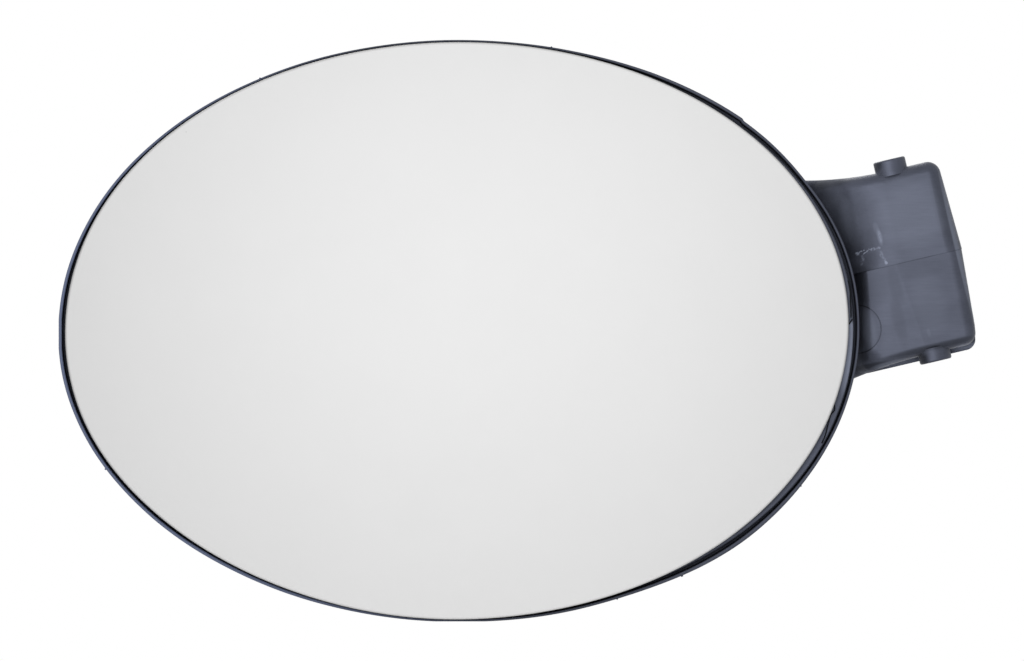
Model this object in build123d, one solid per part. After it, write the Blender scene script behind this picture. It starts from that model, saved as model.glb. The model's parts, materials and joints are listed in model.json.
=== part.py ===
from build123d import *
import math
import os

# Car fuel door: an oval outer panel on a moulded carrier, a rubber lip round its edge, and a
# gooseneck hinge arm with two pivot pins.
#
# Every piece is drawn in the door's face frame, in millimetres: x to the hinge side, y up, z out of
# the car. Its origin is the middle of the panel's oval, in the plane where panel and carrier meet.
# The arm has a frame of its own, on the hinge axis: u to the tail, v along the axis, w out of the car.

# Outer panel
PANEL_LENGTH = 192.6
PANEL_HEIGHT = 142.0
PANEL_CROWN = 4.0
PANEL_WALL = 2.2
PANEL_EDGE_HEIGHT = 2.4
PANEL_EDGE_ROUND = 0.8
PANEL_SEAT_WIDTH = 4.0

# Studs of the panel, staked over behind the carrier
STUD_DIAMETER = 5.0
STUD_CLEARANCE = 0.15
STUD_EDGE_DISTANCE = 20.0
STUD_ANGLES = (58, 90, 122, 148, 212, 238, 270, 302)
STAKE_DIAMETER = 9.0
STAKE_HEIGHT = 1.8

# Carrier plate, with its margins beyond the panel's outline
PLATE_THICKNESS = 2.5
PLATE_MARGIN_HINGE = 1.4
PLATE_MARGIN_LATCH = -0.3
PLATE_MARGIN_TOP = -1.0
PLATE_MARGIN_BOTTOM = -0.8
PLATE_FULLNESS = 2.07
PLATE_EDGE_ROUND = 0.3

# Ribs behind the carrier plate
RIB_HEIGHT = 3.5
RIB_THICKNESS = 1.6
RIM_BEAD_EDGE_DISTANCE = 7.0
RING_RIB_EDGE_DISTANCE = 43.0
SPOKE_ANGLES = (40, 74, 106, 135, 165, 195, 225, 254, 286, 320)

# Rubber seal round the carrier, with its lip's margins beyond the panel's outline
SEAL_BASE_HEIGHT = 3.0
SEAL_BEAD_CLEARANCE = 0.2
LIP_THICKNESS = 0.6
LIP_SETBACK = 0.5
LIP_MARGIN_HINGE = 2.9
LIP_MARGIN_LATCH = 1.6
LIP_MARGIN_TOP = 0.4
LIP_MARGIN_BOTTOM = 0.8
LIP_FULLNESS = 2.085
LIP_FOOT_INSET = 0.35

# Latch tongue on the carrier
TONGUE_EDGE_DISTANCE = 15.0
TONGUE_WIDTH = 14.0
TONGUE_THICKNESS = 3.2
TONGUE_DEPTH = 16.0
TONGUE_HOOK_REACH = 3.0
TONGUE_HOOK_HEIGHT = 4.5
TONGUE_GUSSET_REACH = 8.0
TONGUE_GUSSET_THICKNESS = 2.0

# Rubber stops on the latch side
STOP_EDGE_DISTANCE = 15.5
STOP_ANGLE = 21.0
STOP_HEAD_DIAMETER = 10.0
STOP_HEAD_HEIGHT = 6.0
STOP_HEAD_ROUND = 3.0
STOP_STEM_DIAMETER = 4.6
STOP_STEM_CLEARANCE = 0.1
STOP_BULB_DIAMETER = 6.4
STOP_BULB_HEIGHT = 1.0

# Hinge axis: its middle's distance past the panel's edge, its rise above the oval's middle,
# its depth behind the panel seat and its lean
AXIS_EDGE_DISTANCE = 16.2
AXIS_RISE = 17.1
AXIS_DEPTH = 13.5
AXIS_LEAN = 13.2

# Pivot pins
PIN_DIAMETER = 8.0
PIN_SPAN = 51.2
PIN_END_ROUND = 0.5
PIN_ROOT_HEIGHT = 0.1
PIN_ROOT_DRAFT = 3.0

# Hood of the hinge arm
HOOD_FACE_HEIGHT = 4.5
HOOD_TAIL_REACH = 12.55
HOOD_TOP_REACH = 22.9
HOOD_BOTTOM_REACH = 23.4
HOOD_WALL_DEPTH = 6.5
UPPER_EDGE_ROUND = 3.2
LOWER_EDGE_ROUND = 2.6
UPPER_TAIL_DRAFT = 2.5
LOWER_TAIL_DRAFT = 3.2
FACE_DRAFT = 1.4
ARM_WALL = 2.6
SEAM_STEP = 0.12

# Round over the hood's tail: at its sides, and at the parting line in each half
TAIL_ROUND = 2.8
UPPER_TAIL_ROUND_AT_SEAM = 4.2
LOWER_TAIL_ROUND_AT_SEAM = 3.4

# Neck of the hinge arm, from the bend in the hood's face down to a valley
NECK_BEND_REACH = 5.9
NECK_VALLEY_START = 20.5
NECK_VALLEY_END = 25.5
NECK_VALLEY_DEPTH = 8.0
NECK_WALL_DEPTH = 5.0
NECK_VALLEY_RADIUS = 2.2
NECK_RISER_RADIUS = 2.4
FLARE_START = 1.0
FLARE_TOP = 2.9
FLARE_BOTTOM = 2.2

# Upper half of the neck: a soft bend, then a soft shoulder
UPPER_BEND_RADIUS = 22.0
UPPER_SHOULDER_REACH = 13.8
UPPER_SHOULDER_DROP = 2.6
UPPER_SHOULDER_RADIUS = 10.0

# Lower half of the neck: a slope that fades out to the side, a flat, then a steep shoulder at the door
LOWER_STEP_REACH_AT_SEAM = 4.4
LOWER_STEP_REACH_AT_SIDE = 1.6
LOWER_STEP_LENGTH = 3.2
LOWER_STEP_DROP_AT_SEAM = 0.6
LOWER_STEP_DROP_AT_SIDE = 0.25
LOWER_STEP_RADIUS = 5.0
LOWER_SHOULDER_REACH_AT_SEAM = 12.3
LOWER_SHOULDER_REACH_AT_SIDE = 17.8
LOWER_SHOULDER_DROP = 1.2
LOWER_SHOULDER_RADIUS_AT_SEAM = 1.6
LOWER_SHOULDER_RADIUS_AT_SIDE = 4.0
LOWER_VALLEY_START_AT_SEAM = 16.6

# Foot of the hinge arm, on bosses of the carrier
FOOT_START = 30.0
FOOT_END = 58.0
FOOT_HALF_WIDTH = 20.5
FOOT_WALL_HEIGHT = 3.0
FOOT_BEND_RADIUS = 4.0
BOSS_HEIGHT = 5.0
BOSS_DIAMETER = 9.0
BOSS_PLACES = ((-37.5, 13.0), (-37.5, -13.0), (-51.5, 10.5), (-51.5, -10.5))

# Ribs inside the hood, and the flange along its lower wall
HOOD_RIB_SPACING = 15.0
HOOD_RIB_THICKNESS = 1.8
HOOD_RIB_SETBACK = 1.5
FLANGE_REACH = 1.2
FLANGE_HEIGHT = 1.5
FLANGE_CORNER = 2.0
FLANGE_START = -17.0

# Round witness line that the mould left on the neck
WITNESS_DIAMETER = 12.1
WITNESS_PLACE = (-17.2, -13.4)
WITNESS_WIDTH = 0.3
WITNESS_DEPTH = 0.25

# Screws through the arm's foot
SCREW_DIAMETER = 3.9
SCREW_LENGTH = 9.0
SCREW_HEAD_DIAMETER = 7.6
SCREW_HEAD_HEIGHT = 2.4
SCREW_HEAD_ROUND = 0.9
SCREW_RECESS_LENGTH = 4.4
SCREW_RECESS_WIDTH = 1.0
SCREW_RECESS_DEPTH = 1.5
SCREW_HOLE_CLEARANCE = 0.3
PILOT_CLEARANCE = 0.05
PILOT_SPARE_DEPTH = 0.5

# Points round an oval that its outline is drawn through
OUTLINE_POINTS = 48

# Share of a face's normal that points out of the car, above which the face is one of the arm's front,
# and share that points to the tail, above which it is the tail's wall
FRONT_SHARE = 0.1
TAIL_SHARE = 0.95

# Sizes worked out from those above; cutting shapes run to the reach, which lies past the whole arm
HALF_LENGTH = PANEL_LENGTH / 2
HALF_HEIGHT = PANEL_HEIGHT / 2
RIB_BACK = -PLATE_THICKNESS - RIB_HEIGHT
FOOT_SEAT = AXIS_DEPTH - PLATE_THICKNESS - BOSS_HEIGHT
NECK_MIDDLE = -(NECK_VALLEY_START + NECK_VALLEY_END) / 2
REACH = FOOT_END + PIN_SPAN


def oval(hinge, latch, top, bottom, fullness=2.0):
    """A closed oval round the panel's outline, with a margin to each side and a fuller hinge half."""
    points = []
    for step in range(OUTLINE_POINTS):
        angle = 2 * math.pi * step / OUTLINE_POINTS
        across, up = math.cos(angle), math.sin(angle)
        power = 2 / fullness if across > 0 else 1
        reach = HALF_LENGTH + (hinge if across > 0 else latch)
        rise = HALF_HEIGHT + (top if up > 0 else bottom)
        points.append((
            math.copysign(reach * abs(across) ** power, across),
            math.copysign(rise * abs(up) ** power, up),
        ))
    return make_face(Spline(points, periodic=True))


def inner_oval(edge_distance):
    """An ellipse that lies inside the panel's outline by one distance all round."""
    return Ellipse(HALF_LENGTH - edge_distance, HALF_HEIGHT - edge_distance)


def oval_place(edge_distance, angle):
    """A place on that ellipse, by its angle from the hinge side."""
    turn = math.radians(angle)
    return (
        (HALF_LENGTH - edge_distance) * math.cos(turn),
        (HALF_HEIGHT - edge_distance) * math.sin(turn),
    )


def crown_height(x, y):
    """Height of the panel's inner face above the panel seat."""
    share = (x / HALF_LENGTH) ** 2 + (y / HALF_HEIGHT) ** 2
    return PANEL_EDGE_HEIGHT - PANEL_WALL + PANEL_CROWN * (1 - share)


def outer_panel():
    """Crowned skin of even wall with a flat seat round its edge, and its staked studs."""
    top = PANEL_EDGE_HEIGHT + PANEL_CROWN
    crown_radius = (HALF_LENGTH**2 + PANEL_CROWN**2) / (2 * PANEL_CROWN)
    centre = top - crown_radius
    seat_edge = HALF_LENGTH - PANEL_SEAT_WIDTH
    inner_radius = crown_radius - PANEL_WALL
    inner_edge = centre + math.sqrt(inner_radius**2 - seat_edge**2)
    section = make_face([
        RadiusArc((0, top), (HALF_LENGTH, PANEL_EDGE_HEIGHT), crown_radius),
        Polyline(
            (HALF_LENGTH, PANEL_EDGE_HEIGHT),
            (HALF_LENGTH, 0),
            (seat_edge, 0),
            (seat_edge, inner_edge),
        ),
        RadiusArc((seat_edge, inner_edge), (0, top - PANEL_WALL), -inner_radius),
        Line((0, top - PANEL_WALL), (0, top)),
    ])
    rim = section.vertices().sort_by(Axis.X)[-2:].sort_by(Axis.Y)[-1]
    section = fillet(rim, PANEL_EDGE_ROUND)
    skin = revolve(Plane.XZ * section, Axis.Z)
    skin = scale(skin, by=(1, HALF_HEIGHT / HALF_LENGTH, 1))
    for angle in STUD_ANGLES:
        skin += stud(oval_place(STUD_EDGE_DISTANCE, angle))
    return skin


def stud(place):
    """One stud from the panel's inner face through the plate, with its flattened head."""
    foot = crown_height(*place) + PANEL_WALL / 2
    shank = extrude(Circle(STUD_DIAMETER / 2), foot + PLATE_THICKNESS)
    head = extrude(Circle(STAKE_DIAMETER / 2), STAKE_HEIGHT)
    head = fillet(head.faces().sort_by(Axis.Z)[0].edges(), STAKE_HEIGHT / 2)
    return Pos(*place, -PLATE_THICKNESS) * (shank + Pos(0, 0, -STAKE_HEIGHT) * head)


def carrier():
    """Oval plate with its ledge, ribs, bosses, holes and latch tongue."""
    outline = oval(
        PLATE_MARGIN_HINGE, PLATE_MARGIN_LATCH, PLATE_MARGIN_TOP, PLATE_MARGIN_BOTTOM, PLATE_FULLNESS
    )
    body = extrude(outline, -PLATE_THICKNESS)
    body = fillet(body.faces().sort_by(Axis.Z)[-1].edges(), PLATE_EDGE_ROUND)
    ribs = ring(RIM_BEAD_EDGE_DISTANCE) + ring(RING_RIB_EDGE_DISTANCE)
    for angle in SPOKE_ANGLES:
        ribs += spoke(angle)
    body += Pos(0, 0, RIB_BACK) * extrude(ribs, RIB_HEIGHT)
    for u, v in BOSS_PLACES:
        body += arm_location() * Pos(u, v, FOOT_SEAT) * Cylinder(
            BOSS_DIAMETER / 2, BOSS_HEIGHT, align=(Align.CENTER, Align.CENTER, Align.MIN)
        )
    body += latch_tongue()
    pilot_depth = SCREW_LENGTH - ARM_WALL + PILOT_SPARE_DEPTH
    pilot_radius = SCREW_DIAMETER / 2 + PILOT_CLEARANCE
    for u, v in BOSS_PLACES:
        body -= arm_location() * Pos(u, v, FOOT_SEAT) * Cylinder(
            pilot_radius, pilot_depth, align=(Align.CENTER, Align.CENTER, Align.MIN)
        )
    for angle in STUD_ANGLES:
        body -= Pos(*oval_place(STUD_EDGE_DISTANCE, angle)) * Cylinder(
            STUD_DIAMETER / 2 + STUD_CLEARANCE, 2 * PLATE_THICKNESS + RIB_HEIGHT
        )
    for side in (1, -1):
        body -= Pos(*stop_place(side)) * Cylinder(
            STOP_STEM_DIAMETER / 2 + STOP_STEM_CLEARANCE, 2 * PLATE_THICKNESS + RIB_HEIGHT
        )
    return body


def ring(edge_distance):
    """An oval rib's plan, with its outer face at one distance inside the panel's outline."""
    return inner_oval(edge_distance) - inner_oval(edge_distance + RIB_THICKNESS)


def spoke(angle):
    """The plan of a rib from the ring rib to the rim bead."""
    start = oval_place(RING_RIB_EDGE_DISTANCE + RIB_THICKNESS / 2, angle)
    end = oval_place(RIM_BEAD_EDGE_DISTANCE + RIB_THICKNESS / 2, angle)
    run = (end[0] - start[0], end[1] - start[1])
    length = math.hypot(*run)
    turn = math.degrees(math.atan2(run[1], run[0]))
    middle = ((start[0] + end[0]) / 2, (start[1] + end[1]) / 2, 0)
    return Location(middle, (0, 0, turn)) * Rectangle(length, RIB_THICKNESS)


def latch_tongue():
    """A hooked tongue with two gussets, standing off the back of the plate at the latch side."""
    face = TONGUE_EDGE_DISTANCE - HALF_LENGTH
    end = -PLATE_THICKNESS - TONGUE_DEPTH
    section = make_face(
        Polyline(
            (face, -PLATE_THICKNESS),
            (face, end + TONGUE_HOOK_HEIGHT),
            (face - TONGUE_HOOK_REACH, end + TONGUE_HOOK_HEIGHT),
            (face, end),
            (face + TONGUE_THICKNESS, end),
            (face + TONGUE_THICKNESS, -PLATE_THICKNESS),
            close=True,
        )
    )
    tongue = extrude(Plane.XZ * section, TONGUE_WIDTH / 2, both=True)
    back = face + TONGUE_THICKNESS
    web = make_face(
        Polyline(
            (back, -PLATE_THICKNESS),
            (back + TONGUE_GUSSET_REACH, -PLATE_THICKNESS),
            (back, end + TONGUE_HOOK_HEIGHT),
            close=True,
        )
    )
    gusset = extrude(Plane.XZ * web, TONGUE_GUSSET_THICKNESS / 2, both=True)
    offset_y = (TONGUE_WIDTH - TONGUE_GUSSET_THICKNESS) / 2
    return tongue + Pos(0, offset_y, 0) * gusset + Pos(0, -offset_y, 0) * gusset


def edge_seal():
    """Rubber ring under the plate's edge, with a thin lip that leans out round the panel."""
    base_back = -PLATE_THICKNESS - SEAL_BASE_HEIGHT
    foot_outer = lip_oval(-LIP_FOOT_INSET)
    base = extrude(foot_outer - inner_oval(RIM_BEAD_EDGE_DISTANCE - SEAL_BEAD_CLEARANCE), SEAL_BASE_HEIGHT)
    lip_height = PLATE_THICKNESS - LIP_SETBACK
    lip_top = Pos(0, 0, lip_height)
    outside = loft([foot_outer, lip_top * lip_oval(0)])
    inside = loft([lip_oval(-LIP_FOOT_INSET - LIP_THICKNESS), lip_top * lip_oval(-LIP_THICKNESS)])
    lip = outside - inside
    return Pos(0, 0, base_back) * base + Pos(0, 0, -PLATE_THICKNESS) * lip


def lip_oval(margin):
    """The outline of the seal's lip, moved out by a margin all round."""
    return oval(
        LIP_MARGIN_HINGE + margin,
        LIP_MARGIN_LATCH + margin,
        LIP_MARGIN_TOP + margin,
        LIP_MARGIN_BOTTOM + margin,
        LIP_FULLNESS,
    )


def stop_place(side):
    """The place of the upper or lower rubber stop."""
    return oval_place(STOP_EDGE_DISTANCE, 180 - side * STOP_ANGLE)


def bump_stop(side):
    """A rubber stop: domed head behind the plate, stem through it and a bulb that keeps it in."""
    head = STOP_HEAD_DIAMETER / 2
    stem = STOP_STEM_DIAMETER / 2
    bulb = STOP_BULB_DIAMETER / 2
    tip = -PLATE_THICKNESS - STOP_HEAD_HEIGHT
    section = make_face(
        Polyline(
            (0, STOP_BULB_HEIGHT),
            (stem, STOP_BULB_HEIGHT),
            (bulb, STOP_BULB_HEIGHT / 2),
            (bulb, 0),
            (stem, 0),
            (stem, -PLATE_THICKNESS),
            (head, -PLATE_THICKNESS),
            (head, tip),
            (0, tip),
            close=True,
        )
    )
    section = fillet(section.vertices().sort_by(Axis.Y)[:2].sort_by(Axis.X)[-1], STOP_HEAD_ROUND)
    return Pos(*stop_place(side)) * revolve(Plane.XZ * section, Axis.Z)


def arm_location():
    """The arm's frame in the face frame, on the middle of the hinge axis."""
    middle = (HALF_LENGTH + AXIS_EDGE_DISTANCE, AXIS_RISE, -AXIS_DEPTH)
    return Location(middle, (0, 0, AXIS_LEAN))


def foot_front():
    """The front line of the arm's foot in side view, from the neck's valley."""
    return FilletPolyline(
        (NECK_MIDDLE, -NECK_VALLEY_DEPTH),
        (-NECK_VALLEY_END, -NECK_VALLEY_DEPTH),
        (-FOOT_START, FOOT_SEAT),
        (-FOOT_END, FOOT_SEAT),
        radius=(NECK_RISER_RADIUS, FOOT_BEND_RADIUS),
    )


def foot_outline():
    """The arm's foot in side view, with the back edge of its side walls."""
    foot_back = FOOT_SEAT - ARM_WALL - FOOT_WALL_HEIGHT
    back = Polyline(
        (-FOOT_END, FOOT_SEAT),
        (-FOOT_END, foot_back),
        (-FOOT_START - NECK_WALL_DEPTH, foot_back),
        (-NECK_VALLEY_END, -NECK_VALLEY_DEPTH - NECK_WALL_DEPTH),
        (NECK_MIDDLE, -NECK_VALLEY_DEPTH - NECK_WALL_DEPTH),
        (NECK_MIDDLE, -NECK_VALLEY_DEPTH),
    )
    return make_face([foot_front(), back])


def foot_hollow():
    """The hollow behind the foot's front wall in side view, open to the back."""
    inner_front = offset(foot_front(), ARM_WALL, side=Side.LEFT, closed=False)
    ends = inner_front.vertices().sort_by(Axis.X)
    start, end = ends[-1], ends[0]
    back = Polyline((end.X, end.Y), (end.X, -REACH), (start.X, -REACH), (start.X, start.Y))
    return make_face([inner_front, back])


def blend(at_seam, at_side, share):
    """A size some share of the way from the parting line to the arm's side."""
    return at_seam + (at_side - at_seam) * share


def hood_front(side, share):
    """Corners of the hood's and neck's front line in side view, and their rounds, at one share of a half."""
    reach = HOOD_TOP_REACH if side > 0 else HOOD_BOTTOM_REACH
    draft = UPPER_TAIL_DRAFT if side > 0 else LOWER_TAIL_DRAFT
    sunk = 0 if side > 0 else SEAM_STEP
    tail = HOOD_TAIL_REACH - sunk - share * reach * math.tan(math.radians(draft))
    face = HOOD_FACE_HEIGHT - sunk - share * reach * math.tan(math.radians(FACE_DRAFT))
    if side > 0:
        tail_round = blend(UPPER_TAIL_ROUND_AT_SEAM, TAIL_ROUND, share)
        neck = [
            (-NECK_BEND_REACH, face),
            (-UPPER_SHOULDER_REACH, face - UPPER_SHOULDER_DROP),
            (-NECK_VALLEY_START, -NECK_VALLEY_DEPTH),
        ]
        neck_rounds = [UPPER_BEND_RADIUS, UPPER_SHOULDER_RADIUS]
    else:
        tail_round = blend(LOWER_TAIL_ROUND_AT_SEAM, TAIL_ROUND, share)
        step = blend(LOWER_STEP_REACH_AT_SEAM, LOWER_STEP_REACH_AT_SIDE, share)
        step_drop = blend(LOWER_STEP_DROP_AT_SEAM, LOWER_STEP_DROP_AT_SIDE, share)
        shoulder = blend(LOWER_SHOULDER_REACH_AT_SEAM, LOWER_SHOULDER_REACH_AT_SIDE, share)
        shoulder_round = blend(LOWER_SHOULDER_RADIUS_AT_SEAM, LOWER_SHOULDER_RADIUS_AT_SIDE, share)
        neck = [
            (-step, face),
            (-step - LOWER_STEP_LENGTH, face - step_drop),
            (-shoulder, face - LOWER_SHOULDER_DROP),
            (-blend(LOWER_VALLEY_START_AT_SEAM, NECK_VALLEY_START, share), -NECK_VALLEY_DEPTH),
        ]
        neck_rounds = [LOWER_STEP_RADIUS, LOWER_STEP_RADIUS, shoulder_round]
    corners = [(tail, -HOOD_WALL_DEPTH), (tail, face), *neck, (NECK_MIDDLE, -NECK_VALLEY_DEPTH)]
    return corners, (tail_round, *neck_rounds, NECK_VALLEY_RADIUS)


def hood_outline(side, share):
    """The hood and neck in side view, at one share of the way from the parting line to a side."""
    corners, rounds = hood_front(side, share)
    tail = corners[0]
    back = Polyline(
        (NECK_MIDDLE, -NECK_VALLEY_DEPTH),
        (NECK_MIDDLE, -NECK_VALLEY_DEPTH - NECK_WALL_DEPTH),
        (-NECK_VALLEY_START, -NECK_VALLEY_DEPTH - NECK_WALL_DEPTH),
        (-NECK_BEND_REACH, -HOOD_WALL_DEPTH),
        tail,
    )
    return make_face([FilletPolyline(*corners, radius=rounds), back])


def hood_hollow(side, share):
    """The hollow behind the hood's front wall in side view, open to the back."""
    corners, _ = hood_front(side, share)
    inner = offset(Polyline(*corners), ARM_WALL, side=Side.LEFT, kind=Kind.INTERSECTION, closed=False)
    ends = inner.vertices().sort_by(Axis.X)
    start, end = ends[-2:].sort_by(Axis.Y)[0], ends[0]
    back = Polyline((end.X, end.Y), (end.X, -REACH), (start.X, -REACH), (start.X, start.Y))
    return make_face([inner, back])


def side_view(v=0.0):
    """The plane of the arm's side view at one place along the hinge axis: u across and w up."""
    return Plane((0, v, 0), x_dir=(1, 0, 0), z_dir=(0, -1, 0))


def drafted(outline, side):
    """A half drawn from its outline at the parting line to the one past its side."""
    reach = HOOD_TOP_REACH if side > 0 else HOOD_BOTTOM_REACH
    past_side = (reach + max(FLARE_TOP, FLARE_BOTTOM)) / reach
    stations = [side_view(side * share * reach) * outline(side, share) for share in (0, past_side)]
    return loft(stations, ruled=True)


def hood_plan(side, inset=0.0):
    """One half of the hood and neck in plan, from the parting line to its flared side, at full depth."""
    reach = (HOOD_TOP_REACH if side > 0 else HOOD_BOTTOM_REACH) - inset
    flare = FLARE_TOP if side > 0 else FLARE_BOTTOM
    end = NECK_MIDDLE + inset / 2
    flare_start = (-FLARE_START, side * reach)
    flare_end = (end, side * (reach + flare))
    plan = make_face([
        Polyline((REACH, 0), (REACH, side * reach), flare_start),
        TangentArc(flare_start, flare_end, tangent=(-1, 0)),
        Polyline(flare_end, (end, 0), (REACH, 0)),
    ])
    return extrude(plan, REACH, both=True)


def foot(outline, inset=0.0):
    """The foot, drawn out straight from a side view so that its seat is flat."""
    start = NECK_MIDDLE - inset / 2
    end = inset - FOOT_END
    stretch = Box(start - end, REACH, 2 * REACH, align=(Align.MIN, Align.CENTER, Align.CENTER))
    return extrude(side_view() * outline, FOOT_HALF_WIDTH - inset, both=True) & Pos(end, 0, 0) * stretch


def rounded_edges(half, side, edge_round):
    """The edges of a hood half that show: along its side and down its corner."""
    reach = HOOD_TOP_REACH if side > 0 else HOOD_BOTTOM_REACH
    near_side = reach - edge_round
    front = half.faces().filter_by(lambda face: face.normal_at().Z > FRONT_SHARE).edges()
    at_side = [edge for edge in front if min(abs((edge @ 0).Y), abs((edge @ 1).Y)) > near_side]
    tail = half.faces().filter_by(lambda face: face.normal_at().X > TAIL_SHARE).edges()
    corner = tail.sort_by(lambda edge: side * (edge @ 0.5).Y)[-1]
    return at_side + [corner]


def hood_half(side):
    """One moulded half of the hood and neck, with its draft and rounded edges."""
    half = drafted(hood_outline, side) & hood_plan(side)
    edge_round = UPPER_EDGE_ROUND if side > 0 else LOWER_EDGE_ROUND
    return fillet(rounded_edges(half, side, edge_round), edge_round)


def pin(side):
    """One pivot pin: a root with a little draft in the hood's wall, then its bearing and free end."""
    wall = HOOD_TOP_REACH if side > 0 else HOOD_BOTTOM_REACH
    radius = PIN_DIAMETER / 2
    root_height = ARM_WALL / 2 + PIN_ROOT_HEIGHT
    root_radius = radius + root_height * math.tan(math.radians(PIN_ROOT_DRAFT))
    root = Cone(root_radius, radius, root_height, align=(Align.CENTER, Align.CENTER, Align.MIN))
    bearing = extrude(Circle(radius), PIN_SPAN / 2 - wall - PIN_ROOT_HEIGHT)
    bearing = fillet(bearing.faces().sort_by(Axis.Z)[-1].edges(), PIN_END_ROUND)
    start = Plane((0, side * (wall - ARM_WALL / 2), 0), x_dir=(1, 0, 0), z_dir=(0, side, 0))
    return start * (root + Pos(0, 0, root_height) * bearing)


def hood_flange():
    """The narrow flange along the back of the hood's lower wall, with a round corner at the tail."""
    tail = HOOD_TAIL_REACH - HOOD_BOTTOM_REACH * math.tan(math.radians(LOWER_TAIL_DRAFT))
    plan = Rectangle(tail - FLANGE_START, FLANGE_REACH + ARM_WALL, align=(Align.MIN, Align.MIN))
    plan = fillet(plan.vertices().sort_by(Axis.X)[-2:].sort_by(Axis.Y)[0], FLANGE_CORNER)
    corner = (FLANGE_START, -HOOD_BOTTOM_REACH - FLANGE_REACH, -HOOD_WALL_DEPTH)
    return Pos(*corner) * extrude(plan, FLANGE_HEIGHT)


def witness_line(half):
    """The cut for the round line in a half's front: a round wall that ends a little below that front."""
    circle = Circle(WITNESS_DIAMETER / 2) - Circle(WITNESS_DIAMETER / 2 - WITNESS_WIDTH)
    wall = Pos(*WITNESS_PLACE) * extrude(circle, REACH, both=True)
    return wall - Pos(0, 0, -WITNESS_DEPTH) * half


def hood_rib(half, side):
    """A rib inside one half of the hood, set back from the edge of its walls."""
    slab = Pos(0, side * HOOD_RIB_SPACING / 2, 0) * Box(2 * REACH, HOOD_RIB_THICKNESS, 2 * REACH)
    return slab & half & Pos(0, 0, HOOD_RIB_SETBACK) * half


def hinge_arm():
    """The whole arm: foot and two hood halves that meet at the parting line, hollowed from behind."""
    halves = {side: hood_half(side) for side in (1, -1)}
    body = foot(foot_outline()) + halves[1] + (halves[-1] - witness_line(halves[-1]))
    body -= foot(foot_hollow(), ARM_WALL)
    for side in (1, -1):
        body -= drafted(hood_hollow, side) & hood_plan(side, ARM_WALL)
    for side, half in halves.items():
        body += hood_rib(half, side)
        body += pin(side)
    body += hood_flange()
    for place in BOSS_PLACES:
        body -= Pos(*place) * Cylinder(SCREW_DIAMETER / 2 + SCREW_HOLE_CLEARANCE, REACH)
    return body


def arm_screw():
    """One pan head screw, with its head's seat at the origin and its shank along z."""
    head = Pos(0, 0, -SCREW_HEAD_HEIGHT) * extrude(Circle(SCREW_HEAD_DIAMETER / 2), SCREW_HEAD_HEIGHT)
    head = fillet(head.faces().sort_by(Axis.Z)[0].edges(), SCREW_HEAD_ROUND)
    slot = Rectangle(SCREW_RECESS_LENGTH, SCREW_RECESS_WIDTH)
    recess = extrude(slot + Rot(0, 0, 90) * slot, SCREW_RECESS_DEPTH)
    return head - Pos(0, 0, -SCREW_HEAD_HEIGHT) * recess + extrude(Circle(SCREW_DIAMETER / 2), SCREW_LENGTH)


def arm_screws():
    """The screws through the arm's foot into the carrier's bosses."""
    return Compound([Pos(u, v, FOOT_SEAT - ARM_WALL) * arm_screw().solid() for u, v in BOSS_PLACES])


def face_to_part():
    """The face frame's place in the part's frame, whose origin is the middle of the upper pin's bearing."""
    bearing = (HOOD_TOP_REACH + PIN_ROOT_HEIGHT + PIN_SPAN / 2 - PIN_END_ROUND) / 2
    origin = (arm_location() * Pos(0, bearing, 0)).position
    return Plane((-origin.X, origin.Z, -origin.Y), x_dir=(1, 0, 0), z_dir=(0, -1, 0)).location


PIECES = {
    "outer_panel": outer_panel,
    "carrier": carrier,
    "edge_seal": edge_seal,
    "bump_stop_upper": lambda: bump_stop(1),
    "bump_stop_lower": lambda: bump_stop(-1),
    "hinge_arm": lambda: arm_location() * hinge_arm(),
    "arm_screws": lambda: arm_location() * arm_screws(),
}

os.makedirs("parts", exist_ok=True)
for name, make in PIECES.items():
    export_step(face_to_part() * make(), f"parts/{name}.step")
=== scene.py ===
"""Car fuel door: the fine shapes and finishes of its pieces, a plain stage and the camera."""

import json
import math

import bmesh
import bpy
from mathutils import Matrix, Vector
from mathutils.bvhtree import BVHTree


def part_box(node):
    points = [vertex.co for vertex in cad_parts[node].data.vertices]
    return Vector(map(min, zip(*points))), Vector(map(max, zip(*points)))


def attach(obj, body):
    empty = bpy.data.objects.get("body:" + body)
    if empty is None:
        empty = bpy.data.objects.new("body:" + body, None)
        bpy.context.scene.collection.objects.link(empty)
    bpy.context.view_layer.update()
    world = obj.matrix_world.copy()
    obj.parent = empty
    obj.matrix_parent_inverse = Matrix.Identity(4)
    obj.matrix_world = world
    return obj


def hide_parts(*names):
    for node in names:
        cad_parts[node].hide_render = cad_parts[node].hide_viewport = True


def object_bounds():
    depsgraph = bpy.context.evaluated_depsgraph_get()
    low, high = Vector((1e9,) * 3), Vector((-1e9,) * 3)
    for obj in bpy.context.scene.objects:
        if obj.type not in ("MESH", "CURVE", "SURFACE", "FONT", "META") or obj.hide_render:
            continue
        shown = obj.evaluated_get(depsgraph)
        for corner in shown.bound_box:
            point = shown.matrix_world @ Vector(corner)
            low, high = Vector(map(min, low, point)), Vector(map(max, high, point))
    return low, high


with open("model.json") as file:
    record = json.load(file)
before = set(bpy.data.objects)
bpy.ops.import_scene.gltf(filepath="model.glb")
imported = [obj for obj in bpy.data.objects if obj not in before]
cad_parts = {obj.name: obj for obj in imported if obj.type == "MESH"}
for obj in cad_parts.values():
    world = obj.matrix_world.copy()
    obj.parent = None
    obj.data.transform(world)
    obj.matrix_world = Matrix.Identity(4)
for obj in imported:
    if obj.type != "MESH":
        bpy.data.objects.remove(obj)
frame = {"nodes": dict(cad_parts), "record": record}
CAD_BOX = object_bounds()

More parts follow.
